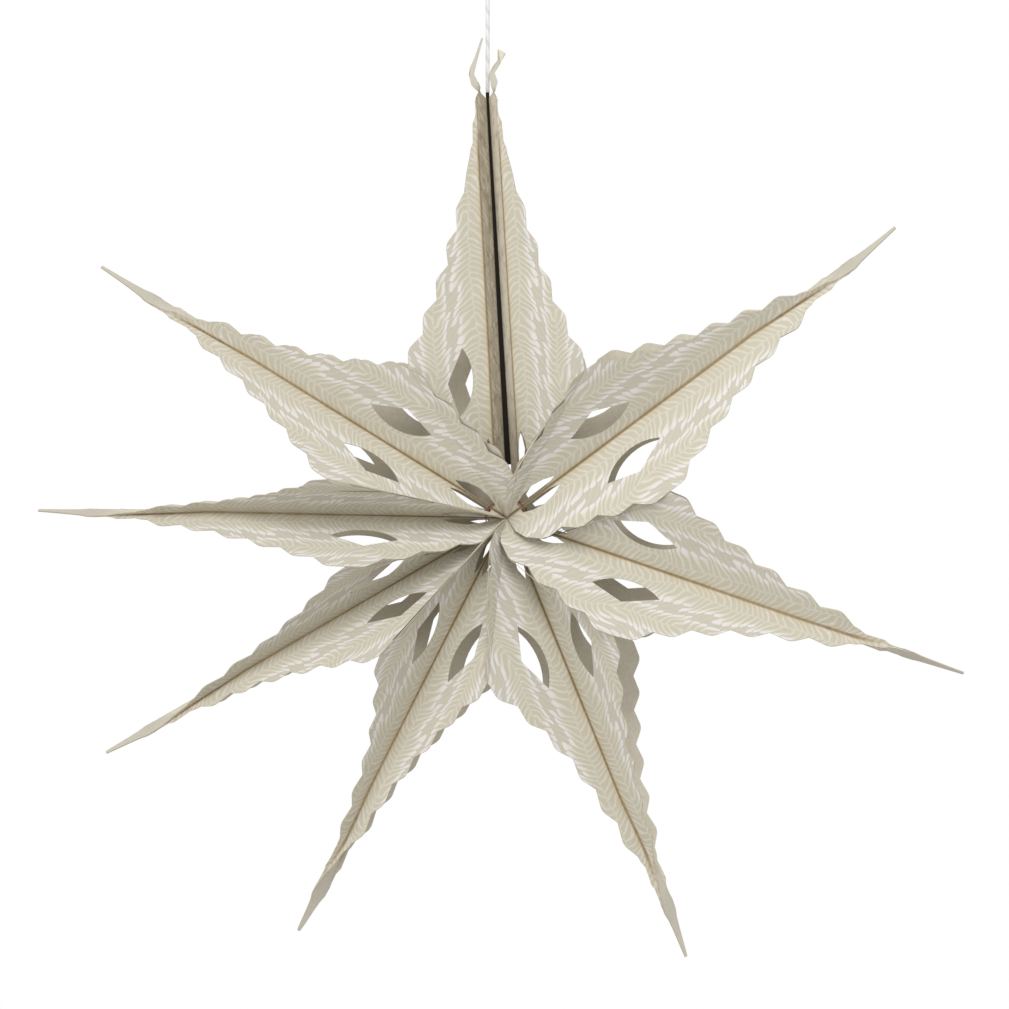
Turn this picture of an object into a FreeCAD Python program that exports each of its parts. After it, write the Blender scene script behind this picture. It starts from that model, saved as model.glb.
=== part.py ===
import FreeCAD, Part
import math
import os

# Hanging paper star of eight points. Millimetres, +Z up, front towards -Y.
# The origin is the hanging point, where the cord leaves the neck of the top point.
# Each point is a pair of folded leaves, glued back to back along their middle strips (the seam).
# Each leaf has a front and a back wing. The wings of two neighbouring points meet at a ridge in
# front and one behind, and their inner edges stand up beyond the ridge as paired fins.

V = FreeCAD.Vector
BACK = V(0, 1, 0)

# Leaf template, flat: a runs out along the seam, b across from the middle of the strip
PAPER = 0.4
STRIP_HALF = 6.0
LEAF_HALF_WIDTH = 61.0
WAVES_END = (226.0, 13.0)
TAPER = ((233.0, 9.8), (247.0, 7.2), (263.0, 6.0), (270.0, 2.2))
TIP_HALF = 1.2
OUTER_WAVES = 6
INNER_WAVES = 4
WAVE_CREST = 3.6
CREST_START = 0.42
CREST_END = 0.62
STRIP_START = 4.2
FIN_END_NEAR = (9.0, 13.0)
FIN_END_FAR = (16.4, 16.9)

# Cut-outs of each wing: a lens by the seam, with a from the foot of the crease, and a large
# curved kite, with a from the middle of the star
LENS_INNER = ((9.4, 6.6), (9.6, 9.7))
LENS_TOP = (24.0, 14.0)
LENS_OUTER = (39.0, 9.5)
LENS_FOOT = (26.0, 6.7)
KITE_INNER = (64.0, 29.5)
KITE_TOP = (85.0, 36.5)
KITE_OUTER = (107.0, 25.5)
KITE_FOOT = (88.0, 19.0)

# Seams, anticlockwise from +X as seen from the front: name, angle in degrees, share of the length
POINT_LENGTH = 295.0
SEAMS = [
    ("top", 93.2, 1.017),
    ("upper_left", 148.3, 1.010),
    ("left", 179.0, 0.997),
    ("lower_left", 210.3, 0.983),
    ("bottom_left", 243.1, 0.980),
    ("bottom_right", 292.2, 1.000),
    ("lower_right", 341.2, 1.019),
    ("upper_right", 396.8, 1.025),
]

# Ridges in the same order, each after the seam of its row: angle, shares of the radius in front and
# behind, lean of the fins. A lean above zero tips the paired fins anticlockwise.
RIDGE_RADIUS = 104.0
RIDGES = [
    (122.4, 1.057, 1.057, 0.0),
    (166.9, 1.053, 1.053, 0.0),
    (196.8, 0.956, 0.956, 4.0),
    (228.3, 1.075, 1.075, 0.0),
    (265.1, 0.970, 0.970, -14.0),
    (314.1, 0.951, 1.067, -40.0),
    (369.4, 0.999, 0.970, -50.0),
    (421.0, 1.008, 1.090, 0.0),
]

# The two leaves of the top point aren't glued: a slot stays open between them
SLOT_TURN_LEFT = -0.25
SLOT_TURN_RIGHT = 0.26
SLOT_OFFSET_LEFT = 0.2
SLOT_OFFSET_RIGHT = 3.6
SLOT_LEAF_START = 15.5
STRIP_TILT = 27.0
NECK = 268.8
NECK_ANGLE = 92.8
TAPE_START = 33.0
TAPE_END = 266.0
TAPE_THICKNESS = 0.5

# Binding threads round the middle, in front and behind, with a corner at every seam
THREAD_RADIUS = 13.25
THREAD_DIAMETER = 0.8
THREAD_GAP = 0.3

# Hanging cord, knot and loop
CORD_DIAMETER = 2.5
CORD_BELOW = 14.0
CORD_ABOVE = 80.0
KNOT_DIAMETER = 7.0
KNOT_HEIGHT = 7.0
KNOT_FLAT = 3.4
KNOT_WAIST = 3.0
LOOP_RADIUS = 14.0
ROUND_SIDES = 12
LOOP_BENDS = 24


def direction(degrees):
    """Unit vector in the plane of the star, anticlockwise from +X as seen from the front."""
    turn = math.radians(degrees)
    return V(math.cos(turn), 0, math.sin(turn))


# The cord hangs behind the tape that closes the slot, so the middle plane lies in front of it
tilt = math.radians(STRIP_TILT)
tape_front = STRIP_HALF * math.cos(tilt) + PAPER
tape_back = tape_front + TAPE_THICKNESS
CENTRE = direction(NECK_ANGLE) * -NECK - BACK * (tape_back + CORD_DIAMETER / 2)


class Panel:
    """A plane of folded paper: maps the flat leaf into space. inside is the normal into the cell."""

    def __init__(self, origin, along, across, inside):
        self.origin = origin
        self.along = along
        self.across = across
        self.inside = inside

    def at(self, point):
        a, b = point
        return self.origin + self.along * a + self.across * b


class Leaf:
    """One leaf of a seam. turn is +1 if its ridge lies anticlockwise of the seam, and -1 if clockwise."""

    def __init__(self, seam, turn, ridge, offset=0.0, strip_tilt=0.0, start=0.0):
        seam_angle, self.length = seam
        self.turn = turn
        self.out = direction(seam_angle)
        self.side = direction(seam_angle + 90) * turn
        self.ridge_angle, front_share, back_share, self.lean = ridge
        self.ridge_radius = {1: RIDGE_RADIUS * front_share, -1: RIDGE_RADIUS * back_share}
        self.ridge_height = {1: 0.0, -1: 0.0}
        self.fold_crossing = 0.0
        self.start = start
        middle = PAPER + offset + STRIP_HALF * math.sin(strip_tilt)
        across = self.side * math.sin(strip_tilt) - BACK * math.cos(strip_tilt)
        inside = self.side * math.cos(strip_tilt) + BACK * math.sin(strip_tilt)
        self.strip = Panel(CENTRE + self.side * middle, self.out, across, inside)

    def hinge(self, face):
        """Point of the fold between the strip and the wing of this face, 1 in front and -1 behind."""
        return self.strip.origin + self.strip.across * (face * STRIP_HALF)

    def ridge_corner(self, face):
        in_plane = CENTRE + direction(self.ridge_angle) * self.ridge_radius[face]
        return in_plane - BACK * (face * self.ridge_height[face])

    def wing(self, face):
        """The panel of one wing. Its b runs on from the strip, so the leaf stays one flat sheet."""
        start = self.hinge(face)
        rise = self.ridge_corner(face) - start
        rise -= self.out * rise.dot(self.out)
        across = rise.normalize() * face
        inside = self.out.cross(across)
        if inside.dot(self.side) < 0:
            inside = -inside
        return Panel(start - across * (face * STRIP_HALF), self.out, across, inside)

    def fin_normal(self, face):
        """Normal of the plane that the paired fins share. It leans about the line of the ridge."""
        sideways = direction(self.ridge_angle + 90)
        ridge_foot = CENTRE + direction(self.ridge_angle) * self.fold_crossing
        ridge_foot -= BACK * (face * STRIP_HALF)
        ridge_line = self.ridge_corner(face) - ridge_foot
        upright = sideways.cross(ridge_line).normalize()
        if upright.dot(BACK) * face > 0:
            upright = -upright
        lean = math.radians(self.lean)
        return sideways * math.cos(lean) - upright * math.sin(lean)

    def crease(self, face):
        """The fold between wing and fin: its two ends in leaf coordinates, b above zero."""
        normal = self.fin_normal(face)
        rise = self.ridge_corner(face) - self.hinge(face)
        foot = (rise.dot(normal) / self.out.dot(normal), STRIP_HALF)
        reach = rise.dot(self.out)
        width = (rise - self.out * reach).Length
        return foot, (reach, STRIP_HALF + width)

    def inner_end(self, face):
        return max(self.crease(face)[0][0] + STRIP_START, self.start)

    def crease_frame(self, face):
        """Foot of the crease, unit vector along it and unit vector into the fin, in leaf coordinates."""
        foot, corner = self.crease(face)
        run = (corner[0] - foot[0], corner[1] - foot[1])
        size = math.hypot(run[0], run[1])
        along = (run[0] / size, run[1] / size)
        return foot, along, (-along[1], along[0])

    def beside_crease(self, face, along_by, out_by):
        foot, along, away = self.crease_frame(face)
        a = foot[0] + along[0] * along_by + away[0] * out_by
        b = foot[1] + along[1] * along_by + away[1] * out_by
        return a, b

    def fin(self, face):
        """The panel of one fin, turned about its crease out of the ridge plane by the lean."""
        foot, along, away = self.crease_frame(face)
        foot_point = self.wing(face).at((foot[0], foot[1] * face))
        ridge_line = (self.ridge_corner(face) - foot_point).normalize()
        normal = self.fin_normal(face)
        fin_up = normal.cross(ridge_line)
        if fin_up.dot(BACK) * face > 0:
            fin_up = -fin_up
        inside = normal * self.turn
        along_a = ridge_line * along[0] + fin_up * away[0]
        along_b = (ridge_line * along[1] + fin_up * away[1]) * face
        origin = foot_point - along_a * foot[0] - along_b * (foot[1] * face)
        return Panel(origin, along_a, along_b, inside), foot_point, ridge_line, fin_up

    def half_outline(self, face):
        """Outline of one half, from the inner end of the strip to the tip, with b above zero."""
        corner = self.crease(face)[1]
        near_a, near_b = self.beside_crease(face, *FIN_END_NEAR)
        points = [(self.inner_end(face), STRIP_HALF)]
        points.append((max(near_a, self.start), near_b))
        points.append(self.beside_crease(face, *FIN_END_FAR))
        points += waves(points[-1], corner, INNER_WAVES)
        points += waves(corner, WAVES_END, OUTER_WAVES)
        return points + [*TAPER, (self.length, TIP_HALF)]

    def outline(self):
        back = [(a, -b) for a, b in self.half_outline(-1)]
        return self.half_outline(1) + back[::-1]


def waves(start, end, count):
    """Blunt waves on a straight edge, each with two crest points and a valley. start isn't repeated."""
    run = (end[0] - start[0], end[1] - start[1])
    size = math.hypot(run[0], run[1])
    outward = (-run[1] / size, run[0] / size)
    points = []
    for wave in range(count):
        for place, height in ((CREST_START, WAVE_CREST), (CREST_END, WAVE_CREST), (1.0, 0.0)):
            along = (wave + place) / count
            a = start[0] + run[0] * along + outward[0] * height
            b = start[1] + run[1] * along + outward[1] * height
            points.append((a, b))
    return points


def closed_wire(points):
    return Part.makePolygon(points + points[:1])


def cut_outs(leaf, panel):
    """The wires of the four cut-outs, two in each wing."""
    wires = []
    for face in (1, -1):
        lens = LENS_INNER + (LENS_TOP, LENS_OUTER, LENS_FOOT)
        foot_a = leaf.inner_end(face) - STRIP_START
        wires.append(closed_wire([panel.at((a + foot_a, b * face)) for a, b in lens]))
        inner, top, outer, foot = (
            panel.at((a, b * face)) for a, b in (KITE_INNER, KITE_TOP, KITE_OUTER, KITE_FOOT)
        )
        straight = Part.makePolygon([inner, top, outer])
        curved = Part.Arc(outer, foot, inner).toShape()
        wires.append(Part.Wire(straight.Edges + [curved]))
    return wires


def sheet(leaf, panel):
    """The whole flat leaf as paper lying in the plane of one panel, thick towards the printed side."""
    outline = closed_wire([panel.at(point) for point in leaf.outline()])
    face = Part.makeFace([outline] + cut_outs(leaf, panel), "Part::FaceMakerBullseye")
    return face.extrude(panel.inside * -PAPER)


def kept_side(point, normal):
    """A block that holds everything on the side of a plane that its normal points to."""
    size = 4 * POINT_LENGTH
    block = Part.makeBox(size, size, size, V(-size / 2, -size / 2, 0))
    block.Placement = FreeCAD.Placement(point, FreeCAD.Rotation(V(0, 0, 1), normal))
    return block


def folded_leaf(leaf):
    """Strip, wings and fins: the same sheet laid in each panel and mitred at every fold."""
    strip = sheet(leaf, leaf.strip)
    pieces = []
    for face in (1, -1):
        wing = leaf.wing(face)
        out_of_strip = wing.across * face
        into_strip = leaf.strip.across * -face
        hinge_mitre = out_of_strip - into_strip
        strip = strip.common(kept_side(leaf.hinge(face), -hinge_mitre))
        fin, foot_point, ridge_line, fin_up = leaf.fin(face)
        foot, along, away = leaf.crease_frame(face)
        into_wing = (wing.along * away[0] + wing.across * (away[1] * face)) * -1
        fin_mitre = fin_up - into_wing
        wing_sheet = sheet(leaf, wing).common(kept_side(leaf.hinge(face), hinge_mitre))
        pieces.append(wing_sheet.common(kept_side(foot_point, -fin_mitre)))
        pieces.append(sheet(leaf, fin).common(kept_side(foot_point, fin_mitre)))
    folded = strip.fuse(pieces)
    return folded.Solids[0] if len(folded.Solids) == 1 else folded


def ridge_height(leaves, face):
    """Height of a ridge corner at which its two leaves have, on average, their full width."""
    sides = []
    for leaf in leaves:
        across = (leaf.ridge_corner(face) - leaf.hinge(face)).dot(leaf.side)
        sides.append(across)
    mean = sum(sides) / len(sides)
    wing_width = LEAF_HALF_WIDTH - STRIP_HALF
    strip_front = sum(-leaf.strip.across.y * STRIP_HALF for leaf in leaves) / len(leaves)
    return strip_front + math.sqrt(wing_width**2 - mean**2)


def make_leaves():
    """All sixteen leaves by name, two for each seam."""
    leaves = {}
    for number, ridge in enumerate(RIDGES):
        pair = {}
        for step, turn in ((0, 1), (1, -1)):
            name, angle, share = SEAMS[(number + step) % len(SEAMS)]
            if number + step == len(SEAMS):
                angle += 360
            options = {}
            if name == "top" and turn == 1:
                angle += SLOT_TURN_LEFT
                options = {"offset": SLOT_OFFSET_LEFT, "strip_tilt": tilt, "start": SLOT_LEAF_START}
            if name == "top" and turn == -1:
                angle += SLOT_TURN_RIGHT
                options = {"offset": SLOT_OFFSET_RIGHT, "strip_tilt": tilt, "start": SLOT_LEAF_START}
            key = f"{name}_leaf_{'ccw' if turn == 1 else 'cw'}"
            pair[key] = Leaf((angle, POINT_LENGTH * share), turn, ridge, **options)
        first, second = pair.values()
        heights = {face: ridge_height([first, second], face) for face in (1, -1)}
        half_cell = first.out.getAngle(second.out) / 2
        for leaf in (first, second):
            leaf.ridge_height = heights
            # Where the inner folds of two neighbouring seams cross, from the middle of the star
            leaf.fold_crossing = PAPER / math.sin(half_cell)
        leaves.update(pair)
    return leaves


def slot_edge(leaf, distance):
    """Point of the back wing's printed face at the tape's front, at a distance along its seam."""
    wing = leaf.wing(-1)
    both = leaf.strip.inside + wing.inside
    fold = leaf.hinge(-1) - both * (PAPER / (1 + leaf.strip.inside.dot(wing.inside)))
    outwards = -wing.across
    to_tape = (CENTRE.y + tape_front - fold.y) / outwards.y
    return fold + outwards * to_tape + leaf.out * distance


def closing_tape(left, right):
    """Dark tape that closes the slot of the top point, between the back folds of its two strips."""
    corners = [
        slot_edge(left, TAPE_START),
        slot_edge(left, TAPE_END),
        slot_edge(right, TAPE_END),
        slot_edge(right, TAPE_START),
    ]
    return Part.Face(closed_wire(corners)).extrude(BACK * TAPE_THICKNESS)


def binding_thread(face):
    """Thread drawn straight from seam to seam, just clear of their folds, in front (1) or behind (-1)."""
    clear = STRIP_HALF + PAPER + THREAD_GAP
    middle = CENTRE - BACK * (face * clear)
    rings = []
    for radius in (THREAD_RADIUS + THREAD_DIAMETER / 2, THREAD_RADIUS - THREAD_DIAMETER / 2):
        rings.append(closed_wire([middle + direction(angle) * radius for _, angle, _ in SEAMS]))
    return Part.makeFace(rings, "Part::FaceMakerBullseye").extrude(BACK * (-face * THREAD_DIAMETER))


def rounded(middle, radius, sides, across, up):
    """Closed wire with many equal sides round a circle, in the plane of two directions."""
    turns = [2 * math.pi * (side + 0.5) / sides for side in range(sides)]
    return closed_wire([middle + (across * math.cos(t) + up * math.sin(t)) * radius for t in turns])


def hanging_cord():
    """Cord, knot and loop, which meet at the knot's surface."""
    across, up = V(1, 0, 0), V(0, 0, 1)
    cord = Part.makeCylinder(CORD_DIAMETER / 2, CORD_BELOW + CORD_ABOVE, up * -CORD_BELOW)
    knot_middle = up * (CORD_ABOVE + KNOT_HEIGHT / 2)
    rings = []
    for width, height in ((KNOT_FLAT, -KNOT_HEIGHT), (KNOT_DIAMETER, -KNOT_WAIST),
                          (KNOT_DIAMETER, KNOT_WAIST), (KNOT_FLAT, KNOT_HEIGHT)):
        rings.append(rounded(knot_middle + up * (height / 2), width / 2, ROUND_SIDES, across, BACK))
    knot = Part.makeLoft(rings, True, True)
    loop_middle = knot_middle + up * LOOP_RADIUS
    path = rounded(loop_middle, LOOP_RADIUS, LOOP_BENDS, across, up)
    start = path.Edges[0].Curve.value(path.Edges[0].FirstParameter)
    outwards = (start - loop_middle).normalize()
    section = rounded(start, CORD_DIAMETER / 2, ROUND_SIDES, outwards, BACK)
    loop = path.makePipeShell([section], True, False, 1).cut(knot)
    return {"hanging_cord": cord, "cord_knot": knot, "cord_loop": loop}


def build():
    leaves = make_leaves()
    shapes = {name: folded_leaf(leaf) for name, leaf in leaves.items()}
    shapes["closing_tape"] = closing_tape(leaves["top_leaf_ccw"], leaves["top_leaf_cw"])
    shapes["front_binding_thread"] = binding_thread(1)
    shapes["back_binding_thread"] = binding_thread(-1)
    shapes.update(hanging_cord())
    return shapes


os.makedirs("parts", exist_ok=True)
for node, shape in build().items():
    shape.exportStep(f"parts/{node}.step")
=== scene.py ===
import bpy
import math
import random
import numpy as np
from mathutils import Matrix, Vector, geometry


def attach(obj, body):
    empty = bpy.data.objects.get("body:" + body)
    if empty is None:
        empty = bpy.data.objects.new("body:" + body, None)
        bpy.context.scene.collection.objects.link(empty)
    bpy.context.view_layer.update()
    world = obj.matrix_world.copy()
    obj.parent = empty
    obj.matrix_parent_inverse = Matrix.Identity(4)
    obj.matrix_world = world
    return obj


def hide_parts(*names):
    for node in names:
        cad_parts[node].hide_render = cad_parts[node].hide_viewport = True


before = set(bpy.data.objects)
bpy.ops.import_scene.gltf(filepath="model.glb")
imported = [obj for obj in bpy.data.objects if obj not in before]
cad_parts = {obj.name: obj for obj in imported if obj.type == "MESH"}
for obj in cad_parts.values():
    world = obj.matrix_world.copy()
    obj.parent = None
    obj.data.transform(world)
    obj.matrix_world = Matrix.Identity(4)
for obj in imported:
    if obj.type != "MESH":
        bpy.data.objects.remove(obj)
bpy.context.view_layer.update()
MM = 0.001

# Sizes of the folded leaf, in millimetres as in the frame
PAPER = 0.4
STRIP_HALF = 6.0
LEAF_HALF_WIDTH = 61.0
WAVES_END = (226.0, 12.0)
TAPER = ((230.0, 11.2), (234.0, 9.4), (240.0, 9.2), (246.0, 8.9), (250.0, 7.0), (254.0, 6.3), (260.0, 6.4),
         (266.0, 5.6), (271.0, 3.6), (277.0, 2.6), (286.0, 1.7))
TIP_HALF = 0.9
OUTER_WAVES = 6
INNER_WAVES = 4
WAVE_CREST = 4.2
# A blunt wave: shares of the crest at places from 0 to 1 along it, and the places that get a point
WAVE_RISE = {0.0: 0.0, 0.36: 0.86, 0.43: 1.0, 0.50: 1.04, 0.57: 1.0, 0.64: 0.88, 1.0: 0.0}
WAVE_PLACES = (0.18, 0.36, 0.43, 0.50, 0.57, 0.64, 0.76, 0.88, 1.0)
# Shares of the height for the last waves of the top point, which fade out
TOP_WAVES = (0.75, 0.1)
EDGE_BOW = 6.0
EDGE_BOWS = {
    "top_leaf_ccw": 6.5, "top_leaf_cw": 6.5, "upper_left_leaf_cw": 8.5, "upper_left_leaf_ccw": 3.5,
    "left_leaf_cw": 11.5, "left_leaf_ccw": 3.5, "lower_left_leaf_cw": 9.5, "lower_left_leaf_ccw": 7.0,
    "bottom_left_leaf_cw": 11.0, "bottom_right_leaf_cw": 11.5, "bottom_right_leaf_ccw": 5.0,
    "lower_right_leaf_cw": 7.5, "lower_right_leaf_ccw": 6.0,
    "upper_right_leaf_ccw": 6.5, "upper_right_leaf_cw": 3.5,
}
MORE_BOW_BEHIND = {"lower_right_leaf_cw": 6.0, "top_leaf_cw": 6.0}
TRIMS_BEHIND = {"lower_right_leaf_cw": 6.0, "top_leaf_cw": 12.0}
STRIP_START = {1: -1.6, -1: -0.6}
FIN_END_NEAR = {1: (4.5, 12.0), -1: (9.0, 13.0)}
FIN_END_FAR = {1: (12.5, 16.2), -1: (16.4, 16.9)}
# The two leaves over the slot's lower end have a longer fin that bends over it
PETAL_RIDGE = 122.4
PETAL_NEAR = (3.0, 13.0)
PETAL_FAR = (20.0, 24.5)
PETAL_REACH = 0.13
LENS = (
    (9.4, 6.6), (9.6, 9.7), (16.0, 12.6), (24.0, 14.0),
    (32.0, 12.6), (39.0, 9.5), (33.0, 7.4), (26.0, 6.7),
)
# On the leaves of the slot, the lens is placed from this far before their inner end
LENS_LEAD = 4.2
KITE_CORNERS = ((64.0, 29.5), (85.0, 36.5), (107.0, 25.5))
KITE_FOOT = (88.0, 19.0)
LENS_SHIFT_BEHIND = (7.0, 1.5)
LENS_SHIFTS_BEHIND = {
    "upper_left_leaf_cw": (26.0, 3.0), "upper_left_leaf_ccw": (5.0, 5.0), "left_leaf_cw": (30.0, 3.0),
    "left_leaf_ccw": (-15.0, 2.0), "bottom_left_leaf_cw": (-9.0, 1.5), "lower_left_leaf_ccw": (-14.0, 2.0),
    "lower_left_leaf_cw": (20.0, 3.0), "bottom_left_leaf_ccw": (22.0, 3.0),
}

# How far the large cut-outs lie off their place, in front and behind
KITE_SHIFTS = {
    "top_leaf_ccw": ((0.0, -1.5), (0.0, -5.5)),
    "top_leaf_cw": (None, (0.0, 6.0)),
    "upper_left_leaf_cw": ((2.0, -1.0), (-5.0, 9.2)),
    "upper_left_leaf_ccw": ((3.0, 2.0), (27.0, 7.0)),
    "left_leaf_ccw": ((1.0, 3.5), (9.0, 13.0)),
    "lower_left_leaf_cw": ((0.0, 0.0), (-9.0, 2.0)),
    "lower_left_leaf_ccw": ((0.0, 2.0), (2.0, -11.0)),
    "bottom_left_leaf_ccw": ((0.0, 0.5), (0.0, 8.0)),
    "bottom_left_leaf_cw": ((0.0, 0.0), (-4.0, -3.0)),
    "bottom_right_leaf_cw": ((1.0, -1.0), (2.0, 9.0)),
    "bottom_right_leaf_ccw": ((5.0, 0.5), (-6.0, 5.0)),
    "lower_right_leaf_cw": ((0.0, 1.5), (0.0, -9.0)),
    "lower_right_leaf_ccw": ((0.0, 0.0), (0.0, 2.5)),
    "upper_right_leaf_cw": ((0.0, 0.0), (1.0, 3.0)),
    "upper_right_leaf_ccw": ((-2.0, -5.0), (3.0, 5.0)),
}
# The upper window of the left point is seen as a slit, flattened towards a line across the wing
SLIT_LEAF = "left_leaf_cw"
SLIT_LINE = 42.0
SLIT_LIFT = 14.0
SLIT_SHARE = 0.14

# How far the narrow part of each point bows anticlockwise before the tip
TIP_BOWS = {
    "upper_right": -2.6, "upper_left": 1.6, "left": 2.4, "lower_left": 1.8, "bottom_left": 1.4,
    "bottom_right": 2.0, "lower_right": 0.6,
}

# Seams, anticlockwise from +X: name, angle, share of the length, then for the tip: millimetres
# longer, how far it curls anticlockwise and towards the viewer, and its twist in degrees
POINT_LENGTH = 295.0
SEAMS = [
    ("top", 93.2, 1.017, 0.0, 0.0, 0.0, 0.0),
    ("upper_left", 148.3, 1.010, 2.9, 0.8, 2.0, 52.0),
    ("left", 179.0, 0.997, 3.7, 1.4, 0.0, 35.0),
    ("lower_left", 210.3, 0.983, 4.8, 0.4, 2.0, 48.0),
    ("bottom_left", 243.1, 0.980, 2.8, 0.2, 2.0, -60.0),
    ("bottom_right", 292.2, 1.000, 0.5, 0.4, 3.0, -55.0),
    ("lower_right", 341.2, 1.019, -1.8, 0.9, 3.0, 42.0),
    ("upper_right", 396.8, 1.025, -2.2, 0.0, 3.0, -62.0),
]
BOW_FROM = 190.0
TWIST_FROM = 222.0
CURL_FROM = 240.0

# The slight flutter of the wings: its depth, where it sets in, and the lengths of its waves
FLUTTER = 0.7
FLUTTER_FROM = 95.0
FLUTTER_GROWTH = 60.0
FLUTTER_GROWTH_ACROSS = 20.0
LONG_WAVE = 23.0
SHORT_WAVE = 9.5
SLANTING_WAVE = 17.0

# Ridges, each after the seam of its row: angle, shares of the radius in front and behind, lean of the
# fins as folded, and the further lean that bends the fins in front away from the middle
RIDGE_RADIUS = 104.0
RIDGES = [
    (PETAL_RIDGE, 1.057, 1.057, 0.0, -52.0),
    (166.9, 1.053, 1.053, 0.0, -3.0),
    (196.8, 0.956, 0.956, 4.0, 32.0),
    (228.3, 1.075, 1.075, 0.0, 0.0),
    (265.1, 0.970, 0.970, -14.0, -8.0),
    (314.1, 0.951, 1.067, -40.0, -14.0),
    (369.4, 0.999, 0.970, -50.0, -12.0),
    (421.0, 1.008, 1.090, 0.0, 30.0),
]
# The share of a fin's length over which it bends
FIN_BEND_REACH = 0.28

SLOT_TURN = {1: -0.25, -1: 0.26}
SLOT_OFFSET = {1: 0.2, -1: 3.6}
SLOT_LEAF_START = 15.5
STRIP_TILT = math.radians(27.0)
NECK = 268.8
NECK_ANGLE = 92.8
TAPE_THICKNESS = 0.5
CORD_DIAMETER = 2.5
CORD_BELOW = 14.0
CORD_ABOVE = 80.0

# The loose ends of the top point's leaves bend along these paths beside the cord
TONGUE_FROM = 266.0
TONGUES = {
    1: ((-4.6, -9.5, -2.6), (-9.3, -9.0, 5.6), (-9.5, -8.0, 11.3), (-5.9, -6.0, 19.4), (-2.9, -4.0, 31.3)),
    -1: ((6.2, -9.5, -2.5), (2.6, -6.0, 11.3), (13.4, -6.5, 21.3), (6.6, -8.0, 23.1)),
}
TONGUE_BLEND = 4.0
TONGUE_NARROWED = 0.65
TONGUE_LOOK = 1.5
TONGUE_SAMPLES = 120

# The grid of points that lets the flat sheet bend, and the folds drawn into it
GRID_STEP = 3.2
GRID_ROW_SHARE = 0.87
GRID_HALF_WIDTH = 66.0
GRID_START = -6.0
HINGE_LEAD = 3.0
HINGE_END = 262.0
ARC_STEPS = 12
SHARP_ANGLE = math.radians(14.0)
MAP_SCALE = 100.0

# The four papers of a leaf, in the order of its material slots
PRINTED, PLAIN, EDGE, SLOT_STRIP = range(4)

# The binding threads and the knot and loop of the cord
THREAD_RADIUS = 13.25
THREAD_DIAMETER = 0.8
THREAD_GAP = 0.3
THREAD_ROUNDING = 0.9
THREAD_SLACK = 0.02
TUBE_STEP = 0.7
STRAND_DEPTH = 0.16
CORD_TWIST = {"strands": 3, "pitch": 8.0, "steps": 14}
KNOT_HEIGHT = 7.0
KNOT_SPREAD = (0.78, 1.1, 0.82)
LOOP_RADIUS = 14.0

BACK = np.array((0.0, 1.0, 0.0))


def direction(degrees):
    turn = math.radians(degrees)
    return np.array((math.cos(turn), 0.0, math.sin(turn)))


def unit(vector):
    return vector / np.linalg.norm(vector)


def eased(part):
    """A part from 0 to 1, starting and ending gently."""
    return part * part * (3 - 2 * part)


def add_object(name, data):
    piece = bpy.data.objects.new(name, data)
    bpy.context.scene.collection.objects.link(piece)
    return piece


tape_front = STRIP_HALF * math.cos(STRIP_TILT) + PAPER
tape_back = tape_front + TAPE_THICKNESS
CENTRE = direction(NECK_ANGLE) * -NECK - BACK * (tape_back + CORD_DIAMETER / 2)


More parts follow.
